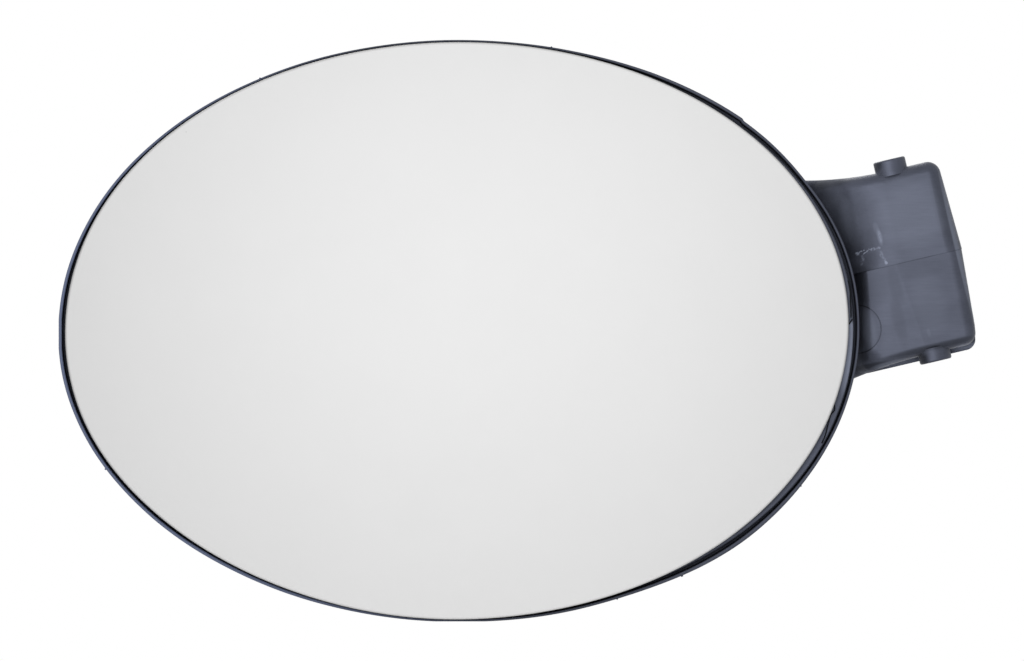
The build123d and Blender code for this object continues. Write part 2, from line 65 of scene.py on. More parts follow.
bl_info = {
    "name": "Car Fuel Door",
    "version": (1, 0, 0),
    "blender": (4, 5, 0),
    "location": "3D View > Sidebar > Fuel Door",
    "description": "Adds the fine shapes and finishes of a car fuel door to its packed frame",
    "category": "Object",
}

MM = 0.001
BODY = "root"
ACROSS = Vector((1, 0, 0))
INWARD = Vector((0, 1, 0))
UP = Vector((0, 0, 1))

# Places taken from the frame: the panel's oval, the plane of its seat, the seal, and the hinge axis
PANEL_LOW, PANEL_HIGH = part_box("outer_panel")
OVAL_CENTRE = (PANEL_LOW + PANEL_HIGH) / 2
HALF_LENGTH = (PANEL_HIGH.x - PANEL_LOW.x) / 2
HALF_HEIGHT = (PANEL_HIGH.z - PANEL_LOW.z) / 2
CROWN_Y = PANEL_LOW.y
SEAT_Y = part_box("carrier")[0].y
SEAL_LOW, SEAL_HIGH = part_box("edge_seal")
UPPER_PIN = next(mount for mount in frame["record"]["mounts"] if mount["name"] == "upper_pivot_pin")
AXIS = Vector(UPPER_PIN["axis"])
TAILWARD = Vector((AXIS.z, 0, -AXIS.x))

# From the upper pin's bearing down the hinge axis to the arm's parting line
SEAM_FROM_UPPER_PIN = 24.05 * MM
ARM_MIDDLE = Vector(UPPER_PIN["pos_m"]) - AXIS * SEAM_FROM_UPPER_PIN

# How far the panel's edge stands from the frame's oval, in mm, at angles clockwise from the hinge side
PANEL_REACH = (
    (0, 0.21), (12, -0.03), (30, 0.01), (48, 0.21), (75, 0.19), (96, 0.24), (120, -0.28), (138, -0.26),
    (160, 0.27), (186, -0.11), (210, -0.04), (258, -0.31), (288, 0.04), (318, 0.83), (342, 0.77),
)

# How far the seal's lip stands out from the same oval
LIP_REACH = (
    (0, 2.9), (20, 2.82), (38, 3.05), (48, 2.88), (63, 1.57), (75, 1.28), (90, 0.94), (120, 0.84),
    (140, 1.28), (165, 1.85), (180, 1.7), (200, 1.31), (225, 0.76), (238, 0.5), (270, 0.31), (287, 0.8),
    (300, 1.73), (318, 2.61), (330, 2.73), (338, 3.08), (348, 3.18),
)

# How thick the lip is, in mm, at such angles
LIP_THICKNESS = (
    (0, 0.55), (20, 0.65), (42, 0.95), (58, 0.75), (85, 0.55), (120, 0.8), (150, 0.75), (180, 0.75),
    (210, 0.65), (250, 0.45), (285, 0.5), (310, 0.75), (325, 0.6), (345, 0.55),
)

# A paler, bluer patch on one side of the lip: its angle, its reach across and up in millimetres, and its
# strength
LIP_PALE_TURN = 162.0
LIP_PALE_REACH = (120.0, 120.0)
LIP_PALE_SHARE = 0.6

# The lip's step: it rises between these angles, and then falls by this share of itself with each degree
LIP_STEP_START = 296.0
LIP_STEP_END = 315.7
LIP_STEP_FALL = 2.5

# The lip's unevenness, as waves round it: how many, their phase in degrees, and their share of the ripple
LIP_WAVES = ((7, 0, 0.5), (19, 40, 0.3))

# Depths below the lip's top, in mm, between which painted shade darkens the groove beside it
GROOVE_SHADE_DEPTHS = (0.5, 2.0)

# Chamfer behind the seal's foot
FOOT_CHAMFER = 0.4 * MM

# Small burrs that the mould left on the lip, by angle
LIP_BURRS = (31.0, 55.5, 66.0, 152.0, 240.0, 270.5, 284.0)

# Shares of a burr's size: its depth in the lip, its room in the solids' box, the largest burr, and its lumps
BURR_SINK = 0.1
BURR_ROOM = 1.3
BURR_LARGEST = 2.2
BURR_LUMPS = 0.18

# Angles and distances in from the oval of the panel's studs, as the solids have them
STUD_ANGLES = (58, 90, 122, 148, 212, 238, 270, 302)
STUD_EDGE_DISTANCE = 20.0 * MM

# How far a stud's shank reaches into the panel's wall, and the chamfer under its staked head
SHANK_SINK = 0.2 * MM
HEAD_CHAMFER = 0.15 * MM

# The dish in a staked head, as (share of the head's radius, millimetres deep)
DISH = ((0.5, 0), (0.4, 0.25), (0.15, 0.7), (0, 0.75))

# Marks on the ledge, as (angle, millimetres out from the panel's edge)
LEDGE_CRACK = (
    (14.9, -0.1), (15.4, 0.3), (16.0, 0.6), (16.6, 0.4), (17.1, 0.1), (18.2, 0.3), (19.2, 0.55),
    (20.3, 0.85), (21.4, 1.15), (22.7, 1.25),
)
LEDGE_NOTCH = ((-1.1, 0.05), (-1.7, 0.6), (-2.1, 0.95))
LEDGE_SHADE = ((-9.5, 1.05), (-8.0, 1.1), (-6.0, 0.85), (-4.0, 0.7), (-2.4, 0.62))

# Painted sheen on the ledge: its angle, its reach across and up in millimetres, its strength, and how far up
# it ends
LEDGE_SHEEN_TURN = 2.5
LEDGE_SHEEN_REACH = (7.0, 15.0)
LEDGE_SHEEN = 0.45
LEDGE_SHEEN_END = (4.5, 5.5)

# Depths behind the carrier's front, in mm: where the ledge's painted sheen ends, and where the painted shade
# on the plate's edge lies
LEDGE_DEPTH = (0.1, 0.4)
EDGE_SHADE_START = (0.2, 0.6)
EDGE_SHADE_END = (2.0, 2.4)

# Scuffs where the gate was broken off, as (millimetres to the tail, millimetres up the hinge axis)
SCUFFS = (
    ((-12.5, 4.6), (-12.1, 5.05), (-11.6, 5.1), (-10.95, 5.2)),
    ((-11.5, 4.15), (-11.1, 4.45), (-10.4, 4.75), (-9.65, 5.15)),
)

# Soft patches on the arm: the middle and the reach, both to the tail and up the hinge axis, and the strength.
# The first table is painted shade on the valley, fillets, pins and edges.
PAINTED_SHADE_PATCHES = (
    ((-9.3, 2.7), (2.6, 2.3), 0.5),
    ((-16.9, -20.4), (1.3, 1.7), 0.7),
    ((-5.5, -5.0), (2.0, 7.0), 0.42),
    ((-6.7, -13.5), (2.0, 8.0), 0.42),
    ((-11.5, -3.5), (6.5, 6.5), 0.4),
    ((-9.0, 12.0), (5.5, 10.5), 0.35),
    ((-8.3, 7.2), (2.2, 3.8), 0.4),
    ((2.0, -2.5), (9.0, 3.0), 0.2),
    ((-15.0, 23.3), (8.0, 1.6), 0.7),
    ((9.4, 11.0), (1.8, 12.0), 0.35),
    ((0.5, -21.9), (16.0, 1.0), 0.8),
    ((-16.5, -23.0), (6.5, 0.9), 0.85),
    ((-3.6, 25.0), (2.0, 2.4), 0.9),
    ((-3.4, -24.4), (2.1, 2.4), 1.0),
)
# Partly dust, partly painted light: pale patches for the highlights and rim light along edges and for light
# on faces and in hollows
DUST_AND_LIGHT_PATCHES = (
    ((-15.5, 15.5), (4.0, 9.5), 0.13),
    ((-12.8, 12.5), (2.6, 8.0), 0.1),
    ((2.5, 11.0), (10.5, 10.5), 0.13),
    ((1.5, -11.0), (5.5, 10.0), 0.07),
    ((-14.6, -13.5), (2.6, 7.0), 0.2),
    ((-10.5, -14.5), (2.2, 5.5), 0.02),
    ((-6.6, 7.5), (0.8, 2.6), 0.22),
    ((-7.0, 9.8), (0.9, 1.9), 0.1),
    ((-18.7, -21.5), (1.0, 1.4), 0.12),
    ((-10.5, -23.6), (6.5, 0.9), 0.28),
    ((11.4, 2.0), (0.8, 24.0), 0.5),
    ((8.0, -23.6), (4.5, 0.9), 0.45),
    ((-0.2, -18.2), (0.6, 1.3), 0.07),
)
TORN_PATCHES = (
    ((-6.5, 7.6), (0.5, 2.0), 0.3),
    ((-12.9, 4.7), (0.7, 0.6), 0.8),
    ((-8.9, 4.95), (0.9, 0.5), 0.6),
    ((-11.8, 3.4), (0.5, 1.0), 0.45),
    ((-12.5, 2.1), (0.5, 0.8), 0.35),
    ((-7.5, 4.85), (0.7, 0.5), 0.5),
    ((-7.2, 3.2), (0.6, 1.2), 0.25),
    ((-6.8, 1.9), (0.6, 0.8), 0.3),
    ((-6.5, 0.95), (0.5, 0.6), 0.75),
)
DULL_PATCHES = (
    ((-17.5, 22.0), (7.5, 4.5), 0.4),
    ((-17.5, -22.0), (5.5, 4.0), 0.4),
)

# The parting line on the arm, in mm to the tail: where it starts, where it fades, and by which share
SEAM_START = (-16, -12)
SEAM_FADE = (3, 9)
SEAM_FADE_SHARE = 0.6

# The round line that the mould leaves on the arm's neck
WITNESS_PLACE = (-17.2, -13.4)
WITNESS_RADIUS = 5.95

# The tail's lower corner, drawn in: where that starts and is full, to the tail and down the axis, and how far
CORNER_TAILWARD = (5.0, 9.0)
CORNER_DOWN = (18.0, 23.2)
CORNER_DRAW = 0.6

# Name of the value on each face of the arm: how squarely it faces out of the car
FRONT_NOTE = "facing_front"

# Tint of the shine on the black plastic and rubber
SHINE_TINT = (0.69, 0.757, 1.0, 1.0)

# Threads of the cracks and scuffs: the length of a step, the size of a bend, and a seed
CRACK_STEP = 0.25 * MM
CRACK_BEND = 1.6 * MM
CRACK_SEED = 3.0
SCUFF_STEP = 0.15 * MM
SCUFF_BEND = 1.1 * MM
SCUFF_SEED = 8.0

# A thread's thinnest place, as a share of its width, and how many sides it has
LEAST_THREAD = 0.15
THREAD_SIDES = 8

# Fineness of the meshes that are made here
OVAL_STEPS = 360
LIP_STEPS = 2 * OVAL_STEPS
ROUND_STEPS = 48
FLOOR_STEPS = 128
CROWN_STEPS = 24
BEND_STEPS = 8
LIP_TOP_STEPS = 10
MERGE_DISTANCE = 0.0004 * MM
SHARP_ANGLE = math.radians(28)

# The angle at which the round of the panel's edge meets the crown
EDGE_ROUND_START = -84

# How far in front of the part a search for its surface starts
CLEAR_OF_PART = 10 * MM

# Lamps, in metres from the panel's middle: their places, their widths and the front lamp's aim
FRONT_LAMP_PLACE = Vector((0.007, -0.3, 0.047))
FRONT_LAMP_AIM = Vector((0.007, 0, 0.04))
FRONT_LAMP_WIDTH = 0.23
BACK_LAMP_PLACE = Vector((-0.3, 0.8, 0.6))
BACK_LAMP_WIDTH = 0.6

# The camera's sensor in millimetres, and how far it sees in metres
SENSOR_WIDTH = 36
CAMERA_RANGE = 100

# The share of the floor's radius where it starts to fade
FLOOR_FADE_START = 0.45


def size(name, description, default):
    """A length that a user may change, given in millimetres."""
    return bpy.props.FloatProperty(name=name, description=description, default=default * MM, unit="LENGTH")


def share(name, description, default):
    """A plain number that a user may change."""
    return bpy.props.FloatProperty(name=name, description=description, default=default)


def colour(name, description, default):
    """A colour that a user may change."""
    return bpy.props.FloatVectorProperty(
        name=name, description=description, default=default, subtype="COLOR", size=3, min=0, max=1
    )


class PanelSizes(bpy.types.PropertyGroup):
    """Sizes of the outer panel."""

    crown: size("Crown", "Rise of the panel's middle over its edge", 4.0)
    wall: size("Wall", "Thickness of the panel", 2.2)
    edge_round: size("Edge round", "Radius along the panel's front edge", 0.65)
    seat_width: size("Seat width", "Width of the flat seat behind the edge", 4.0)
    stud_diameter: size("Stud diameter", "Diameter of a stud", 5.0)
    head_diameter: size("Head diameter", "Diameter of a stud's flattened head", 9.0)
    head_height: size("Head height", "Height of a stud's flattened head", 1.8)
    plate: size("Plate", "Thickness of the carrier plate that the studs pass through", 2.5)


class SealSizes(bpy.types.PropertyGroup):
    """Sizes of the rubber seal."""

    lip_lean: size("Lip lean", "How far the lip leans out from its foot", 0.35)
    lip_crown: size("Lip crown", "Rise of the lip's rounded top", 0.16)
    base_height: size("Base height", "Height of the base behind the plate", 3.0)
    groove_width: size("Groove width", "Width of the groove in the base beside the lip", 1.7)
    groove_depth: size("Groove depth", "Depth of the groove in the base", 2.2)
    bead_distance: size("Bead distance", "How far the base reaches in from the panel's edge", 6.8)
    step: size("Step", "How far the lip's step stands out", 0.32)
    burr: size("Burr", "Size of a burr on the lip", 0.3)
    ripple: size("Ripple", "Unevenness of the lip's edge", 0.05)


class MarkSizes(bpy.types.PropertyGroup):
    """Sizes of the marks on carrier and arm."""

    crack_width: size("Crack width", "Width of the cracks in the ledge", 0.36)
    scuff_width: size("Scuff width", "Width of a scuff on the arm", 0.38)
    wiggle: size("Wiggle", "How far a scuff or a crack wanders", 0.3)
    line_width: size("Line width", "Width of a dark line that the mould leaves on the arm", 0.2)


class Finishes(bpy.types.PropertyGroup):
    """Colours of the finishes."""

    primer: colour("Primer", "Outer panel", (0.79, 0.79, 0.79))
    arm: colour("Arm", "Moulded hinge arm", (0.057, 0.062, 0.083))
    carrier: colour("Carrier", "Moulded carrier", (0.037, 0.0403, 0.0535))
    rubber: colour("Rubber", "Seal", (0.042, 0.046, 0.061))
    pale_lip: colour("Pallor", "Bloom on the seal's lip", (0.21, 0.255, 0.41))
    stop: colour("Stop", "Rubber stops", (0.022, 0.022, 0.025))
    # Whitened plastic is also the colour of the pale patches of dust and painted light on the arm and of the
    # painted sheen on the ledge
    scuff: colour("Scuff", "Whitened plastic", (0.34, 0.375, 0.48))
    # Dark is also the colour of the painted shade on the arm, on the plate's edge, in the seal's groove and
    # on the stops
    dark: colour("Dark", "Cracks and grime in grooves", (0.01, 0.011, 0.014))
    zinc: colour("Zinc", "Screws", (0.46, 0.46, 0.45))
    floor: colour("Floor", "Floor", (0.86, 0.86, 0.86))


class StageSizes(bpy.types.PropertyGroup):
    """Camera and lights."""

    view_width: size("View width", "Width of the view at the panel's edge", 251.9)
    distance: size("Distance", "Camera's distance from the panel's edge", 5000)
    aim_across: size("Aim across", "Camera's aim to the hinge side of the oval's middle", 13.69)
    aim_down: size("Aim down", "Camera's aim below the oval's middle", 0.18)
    floor_drop: size("Floor drop", "Floor's distance below the oval's middle", 150)
    floor_radius: size("Floor radius", "Radius of the floor", 240)
    sky: share("Sky", "Strength of the light from all round", 0.15)
    key: share("Key", "Power of the large lamp in front, in watts", 0.85)
    back: share("Back", "Power of the lamp behind, in watts", 4.0)


class Wire:
    """An output socket that Python's operators work on; each one adds a Math node to its tree."""

    def __init__(self, nodes, socket):
        self.nodes = nodes
        self.socket = socket

    def math(self, operation, *values):
        return self.nodes.add("ShaderNodeMath", {"operation": operation}, dict(enumerate(values)))

    def __add__(self, other):
        return self.math("ADD", self, other)

    __radd__ = __add__

    def __sub__(self, other):
        return self.math("SUBTRACT", self, other)

    def __rsub__(self, other):
        return self.math("SUBTRACT", other, self)

    def __mul__(self, other):
        return self.math("MULTIPLY", self, other)

    def __abs__(self):
        return self.math("ABSOLUTE", self)


class Nodes:
    """A node tree, with one way to add a node to it."""

    def __init__(self, tree):
        self.tree = tree

    def add(self, kind, settings=None, sockets=None, output=0):
        """Adds a node: its settings first, then its sockets' values or links. Returns one output."""
        node = self.tree.nodes.new(kind)
        for name, value in (settings or {}).items():
            setattr(node, name, value)
        for name, value in (sockets or {}).items():
            if isinstance(value, Wire):
                self.tree.links.new(value.socket, node.inputs[name])
            else:
                node.inputs[name].default_value = value
        return Wire(self, node.outputs[output]) if len(node.outputs) else None


def opaque(shade, strength=1.0):
    """A colour property, made brighter or darker, as a node's colour."""
    return tuple(channel * strength for channel in shade) + (1.0,)


def mixed(nodes, factor, first, second):
    """A colour between two, by a factor."""
    return nodes.add("ShaderNodeMix", {"data_type": "RGBA"}, {0: factor, 6: first, 7: second}, output=2)


def rising(nodes, value, start, end):
    """A smooth step from 0 at the start to 1 at the end."""
    sockets = {"Value": value, "From Min": start, "From Max": end}
    return nodes.add("ShaderNodeMapRange", {"interpolation_type": "SMOOTHSTEP"}, sockets)


def rising_mm(nodes, value, limits):
    """A smooth step from 0 to 1 between two limits in millimetres."""
    return rising(nodes, value, limits[0] * MM, limits[1] * MM)


def vector_math(nodes, operation, first, second, output=0):
    """One output of a Vector Math node with two inputs."""
    return nodes.add("ShaderNodeVectorMath", {"operation": operation}, {0: first, 1: second}, output)


def object_place(nodes):
    """The place on a piece, in metres in the part's frame."""
    return nodes.add("ShaderNodeTexCoord", output="Object")


def grain(nodes, place, grain_size, detail=2.0, stretch=(1, 1, 1), turn=0.0):
    """Noise with grains of one size in millimetres, stretched along the part's or a turned frame's axes."""
    scaled = nodes.add("ShaderNodeMapping", {}, {"Vector": place, "Rotation": (0, turn, 0)})
    stretched = vector_math(nodes, "DIVIDE", scaled, stretch)
    sockets = {"Vector": stretched, "Scale": 1 / (grain_size * MM), "Detail": detail}
    return nodes.add("ShaderNodeTexNoise", {}, sockets)


def along(nodes, place, direction, start):
    """Distance of a place along a direction, from a start."""
    return vector_math(nodes, "DOT_PRODUCT", place, direction, "Value") - direction.dot(start)


def distance_to(nodes, place, centre):
    """Distance of a place from a centre, square on to the door."""
    flat = vector_math(nodes, "MULTIPLY", place, (1, 0, 1))
    return vector_math(nodes, "DISTANCE", flat, centre, "Value")


def bumped(nodes, height, depth, strength=0.3):
    """A normal bumped by a height between 0 and 1, with the bumps' depth in millimetres."""
    return nodes.add("ShaderNodeBump", {}, {"Height": height, "Distance": depth * MM, "Strength": strength})


def new_finish(name):
    """An empty material and its nodes."""
    material = bpy.data.materials.new(name)
    material.use_nodes = True
    material.node_tree.nodes.clear()
    return material, Nodes(material.node_tree)


def surface(nodes, sockets):
    """Ends a material in a Principled shader with these values and links."""
    shader = nodes.add("ShaderNodeBsdfPrincipled", {}, sockets)
    nodes.add("ShaderNodeOutputMaterial", {}, {"Surface": shader})


def primer_finish(finishes):
    """Satin primer: faint mottling, a fine spray texture and a few specks of dust."""
    material, nodes = new_finish("satin primer")
    place = object_place(nodes)
    mottle = grain(nodes, place, 14.0, detail=3.0)
    spray = grain(nodes, place, 0.5, detail=3.0)
    peel = grain(nodes, place, 2.2, detail=1.0)
    cells = {"Vector": place, "Scale": 1 / (26 * MM)}
    speck = 1 - rising(nodes, nodes.add("ShaderNodeTexVoronoi", {}, cells), 0.006, 0.011)
    shade = mixed(nodes, mottle, opaque(finishes.primer, 0.985), opaque(finishes.primer, 1.012))
    shade = mixed(nodes, speck * 0.25, shade, opaque(finishes.primer, 0.5))
    surface(nodes, {
        "Base Color": shade,
        "Roughness": 0.4 + spray * 0.12,
        "Normal": bumped(nodes, peel + spray * 0.35, depth=0.012, strength=0.35),
        "Specular IOR Level": 0.2,
    })
    return material


def moulded_finish(name, shade, shine, add_marks):
    """Moulded plastic: flow marks along the part, fine drag lines and grain, and uneven gloss."""
    material, nodes = new_finish(name)
    place = object_place(nodes)
    lean = math.atan2(-AXIS.x, AXIS.z)
    flow = grain(nodes, place, 5.0, detail=4.0, stretch=(3.2, 1, 0.8), turn=lean)
    cloud = grain(nodes, place, 9.0)
    fine = grain(nodes, place, 0.22)
    drag = grain(nodes, place, 0.4, stretch=(12, 1, 1))
    tone = flow * 0.45 + cloud * 0.3 + drag * 0.25
    plastic = mixed(nodes, rising(nodes, tone, 0.3, 0.7), opaque(shade, 0.72), opaque(shade, 1.28))
    plastic, dull = add_marks(nodes, place, plastic)
    surface(nodes, {
        "Base Color": plastic,
        "Roughness": 0.36 + cloud * 0.1 + fine * 0.08 + dull,
        "Normal": bumped(nodes, fine + drag * 0.5 + flow * 0.4, depth=0.02),
        "Specular IOR Level": shine,
        "Specular Tint": SHINE_TINT,
        "Sheen Weight": 0.12,
        "Sheen Roughness": 0.2,
        "Sheen Tint": SHINE_TINT,
    })
    return material


def draw_in_corner(shape):
    """Draws in the lower corner of the arm's tail, more and more towards its end."""
    for vertex in shape.verts:
        offset = (vertex.co - ARM_MIDDLE) / MM
        tailward = (offset.dot(TAILWARD) - CORNER_TAILWARD[0]) / (CORNER_TAILWARD[1] - CORNER_TAILWARD[0])
        down = (-offset.dot(AXIS) - CORNER_DOWN[0]) / (CORNER_DOWN[1] - CORNER_DOWN[0])
        drawn = min(max(tailward, 0), 1) * max(down, 0) ** 2
        vertex.co -= TAILWARD * (CORNER_DRAW * MM * drawn)


def note_front(piece):
    """Notes on each face of a piece how squarely it faces out of the car."""
    facing = piece.data.attributes.new(FRONT_NOTE, "FLOAT", "FACE")
    for polygon in piece.data.polygons:
        facing.data[polygon.index].value = -polygon.normal.y


def facing_front(nodes):
    """1 where a surface faces out of the car, 0 where it faces into it."""
    facing = nodes.add("ShaderNodeAttribute", {"attribute_name": FRONT_NOTE}, output="Fac")
    return rising(nodes, facing, 0.0, 0.3)


def soft_patch(nodes, across, up, middle, reach):
    """How strongly a soft oval patch shows: 1 at its middle and 0 at its edge."""
    across = (across - middle[0] * MM) * (1 / (reach[0] * MM))
    up = (up - middle[1] * MM) * (1 / (reach[1] * MM))
    return 1 - rising(nodes, across * across + up * up, 0.05, 1.0)


def rim_patch(nodes, place, turn, reach):
    """A soft patch round a point of the panel's oval, and the height above that point."""
    centre = oval_point(turn, 0, 0)
    across = along(nodes, place, ACROSS, centre)
    up = along(nodes, place, UP, centre)
    return soft_patch(nodes, across, up, (0, 0), reach), up


def arm_finish(finishes, marks):
    """The arm's plastic, with the lines that the mould leaves, the marks of the broken gate, painted shade,
    and pale patches that are partly dust and partly painted light.
    """

    def marked(nodes, place, plastic):
        up_axis = along(nodes, place, AXIS, ARM_MIDDLE)
        to_tail = along(nodes, place, TAILWARD, ARM_MIDDLE)
        front = facing_front(nodes)
        torn = rising(nodes, grain(nodes, place, 0.7, detail=4.0), 0.38, 0.62) * front
        # Painted shade, pale patches of dust and painted light, and whitened plastic where the gate was torn
        for patches, mask, shade in (
            (PAINTED_SHADE_PATCHES, front, finishes.dark),
            (DUST_AND_LIGHT_PATCHES, front, finishes.scuff),
            (TORN_PATCHES, torn, finishes.scuff),
        ):
            for middle, reach, strength in patches:
                patch = soft_patch(nodes, to_tail, up_axis, middle, reach)
                plastic = mixed(nodes, patch * mask * strength, plastic, opaque(shade))
        dull = front * 0.02
        for middle, reach, strength in DULL_PATCHES:
            dull = dull + soft_patch(nodes, to_tail, up_axis, middle, reach) * strength
        worn = rising(nodes, grain(nodes, place, 2.6), 0.3, 0.6)
        faded = rising_mm(nodes, to_tail, SEAM_FADE) * SEAM_FADE_SHARE
        on_hood = rising_mm(nodes, to_tail, SEAM_START) - faded
        seam = 1 - rising(nodes, abs(up_axis), marks.line_width * 0.25, marks.line_width)
        plastic = mixed(nodes, seam * on_hood * (worn * 0.4 + 0.6), plastic, opaque(finishes.dark))
        centre = arm_point(*WITNESS_PLACE)
        from_ring = abs(distance_to(nodes, place, (centre.x, 0, centre.z)) - WITNESS_RADIUS * MM)
        ring = 1 - rising(nodes, from_ring, marks.line_width * 0.4, marks.line_width)
        return mixed(nodes, ring * front * 0.95, plastic, opaque(finishes.dark, 0.5)), dull

    return moulded_finish("moulded arm plastic", finishes.arm, shine=0.58, add_marks=marked)


def carrier_finish(finishes):
    """The carrier's plastic, with a painted sheen on its ledge and painted shade on the edge of its plate
    beside the lip.
    """

    def marked(nodes, place, plastic):
        depth = along(nodes, place, INWARD, INWARD * SEAT_Y)
        edge_shade = rising_mm(nodes, depth, EDGE_SHADE_START) - rising_mm(nodes, depth, EDGE_SHADE_END)
        on_ledge = 1 - rising_mm(nodes, depth, LEDGE_DEPTH)
        # Painted sheen on the ledge beside the panel's edge, below the notch, in the colour of whitened
        # plastic
        patch, up = rim_patch(nodes, place, LEDGE_SHEEN_TURN, LEDGE_SHEEN_REACH)
        below_notch = 1 - rising_mm(nodes, up, LEDGE_SHEEN_END)
        dust = patch * on_ledge * below_notch
        plastic = mixed(nodes, dust * LEDGE_SHEEN, plastic, opaque(finishes.scuff))
        # Painted shade on the plate's edge wall in the groove beside the lip, with a duller gloss there
        return mixed(nodes, edge_shade * 0.9, plastic, opaque(finishes.dark)), edge_shade * 0.3

    return moulded_finish("moulded carrier plastic", finishes.carrier, shine=0.48, add_marks=marked)


def rubber_finish(name, shade, roughness, painted_shade, painted_shade_start, painted_shade_end, pale=None):
    """Moulded rubber: cloudy, with a fine matt grain, painted shade between two depths, and a paler patch on
    one side where a pale colour is given.
    """
    material, nodes = new_finish(name)
    place = object_place(nodes)
    cloud = grain(nodes, place, 7.0, detail=4.0)
    fine = grain(nodes, place, 0.3)
    rubber = mixed(nodes, rising(nodes, cloud, 0.35, 0.7), opaque(shade, 0.85), opaque(shade, 1.2))
    if pale is not None:
        patch = rim_patch(nodes, place, LIP_PALE_TURN, LIP_PALE_REACH)[0]
        rubber = mixed(nodes, patch * LIP_PALE_SHARE, rubber, opaque(pale))
    depth = along(nodes, place, INWARD, Vector())
    surface(nodes, {
        # Painted shade between two depths: in the seal's groove, and towards each stop's front end
        "Base Color": mixed(nodes, rising(nodes, depth, painted_shade_start, painted_shade_end), rubber, opaque(painted_shade)),
        "Roughness": roughness + cloud * 0.15,
        "Normal": bumped(nodes, fine, depth=0.02),
        "Specular IOR Level": 0.45,
        "Specular Tint": SHINE_TINT,
    })
    return material


def scuff_finish(finishes):
    """Plastic whitened where it was torn."""
    material, nodes = new_finish("whitened plastic")
    torn = grain(nodes, object_place(nodes), 0.35, detail=4.0)
    tear = rising(nodes, torn, 0.35, 0.65)
    surface(nodes, {
        "Base Color": mixed(nodes, tear, opaque(finishes.arm, 1.3), opaque(finishes.scuff)),
        "Roughness": 0.6 + torn * 0.2,
        "Normal": bumped(nodes, torn, depth=0.05, strength=0.5),
        "Specular IOR Level": 0.3,
    })
    return material


def crack_finish(finishes):
    """The shade inside a crack, with dust in places."""
    material, nodes = new_finish("crack shade")
    dust = grain(nodes, object_place(nodes), 0.8, detail=3.0)
    shade = mixed(nodes, rising(nodes, dust, 0.5, 0.8), opaque(finishes.dark), opaque(finishes.dark, 3.0))
    surface(nodes, {"Base Color": shade, "Roughness": 0.8 + dust * 0.1, "Specular IOR Level": 0.1})
    return material


def zinc_finish(finishes):
    """Zinc plating: cloudy, with fine turning marks."""
    material, nodes = new_finish("zinc plate")
    place = object_place(nodes)
    cloud = grain(nodes, place, 1.2, detail=4.0)
    fine = grain(nodes, place, 0.12)
    surface(nodes, {
        "Base Color": mixed(nodes, cloud, opaque(finishes.zinc, 0.8), opaque(finishes.zinc, 1.15)),
        "Metallic": 1.0,
        "Roughness": 0.3 + cloud * 0.2,
        "Normal": bumped(nodes, fine, depth=0.01),
    })
    return material


def floor_finish(finishes, centre, radius):
    """Pale floor that fades out towards its border."""
    material, nodes = new_finish("pale floor")
    place = object_place(nodes)
    away = vector_math(nodes, "DISTANCE", place, centre, "Value")
    mottle = grain(nodes, place, 30.0)
    shade = mixed(nodes, mottle, opaque(finishes.floor, 0.99), opaque(finishes.floor, 1.01))
    matt = nodes.add("ShaderNodeBsdfDiffuse", {}, {"Color": shade})
    clear = nodes.add("ShaderNodeBsdfTransparent")
    edge = rising(nodes, away, radius * FLOOR_FADE_START, radius)
    faded = nodes.add("ShaderNodeMixShader", {}, {0: edge, 1: matt, 2: clear})
    nodes.add("ShaderNodeOutputMaterial", {}, {"Surface": faded})
    return material


def smooth_reach(points, turn):
    """A smooth value through (angle, value) points, for any angle round the oval."""
    turn = turn % 360
    count = len(points)
    last = max(index for index in range(count) if points[index][0] <= turn)
    before, here, there, after = (points[(last + step) % count][1] for step in (-1, 0, 1, 2))
    start = points[last][0]
    end = points[(last + 1) % count][0]
    part = (turn - start) / ((end - start) % 360)
    slope_here = (there - before) / 2
    slope_there = (after - here) / 2
    return (
        here * (1 + 2 * part) * (1 - part) ** 2
        + slope_here * part * (1 - part) ** 2
        + there * part**2 * (3 - 2 * part)
        - slope_there * part**2 * (1 - part)
    )


def oval_point(turn, offset, depth):
    """A point at an angle clockwise from the hinge side, moved out from the panel's oval, at a depth."""
    across = math.cos(math.radians(turn))
    down = math.sin(math.radians(turn))
    normal = Vector((across / HALF_LENGTH, 0, -down / HALF_HEIGHT)).normalized()
    point = Vector((OVAL_CENTRE.x + HALF_LENGTH * across, 0, OVAL_CENTRE.z - HALF_HEIGHT * down))
    point += normal * offset
    point.y = depth
    return point


def arm_point(to_tail, up_axis):
    """A point on the arm, in millimetres to its tail and up the hinge axis from the parting line."""
    return ARM_MIDDLE + TAILWARD * (to_tail * MM) + AXIS * (up_axis * MM)


def round_arc(centre, radius, start, end, steps):
    """Points of an arc in a section, as (out, depth), between two angles in degrees."""
    angles = [math.radians(start + (end - start) * step / steps) for step in range(steps + 1)]
    return [(centre[0] + radius * math.cos(a), centre[1] + radius * math.sin(a)) for a in angles]


def swept_ring(section, steps, closed):
    """A mesh from one cross-section per step of a full turn; a closed one runs back to its start."""
    shape = bmesh.new()
    rings = [[shape.verts.new(point) for point in section(360 * step / steps)] for step in range(steps)]
    count = len(rings[0])
    for here, there in zip(rings, rings[1:] + rings[:1]):
        for first in range(count if closed else count - 1):
            second = (first + 1) % count
            shape.faces.new((here[first], here[second], there[second], there[first]))
    bmesh.ops.remove_doubles(shape, verts=shape.verts, dist=MERGE_DISTANCE)
    bmesh.ops.recalc_face_normals(shape, faces=shape.faces)
    return shape


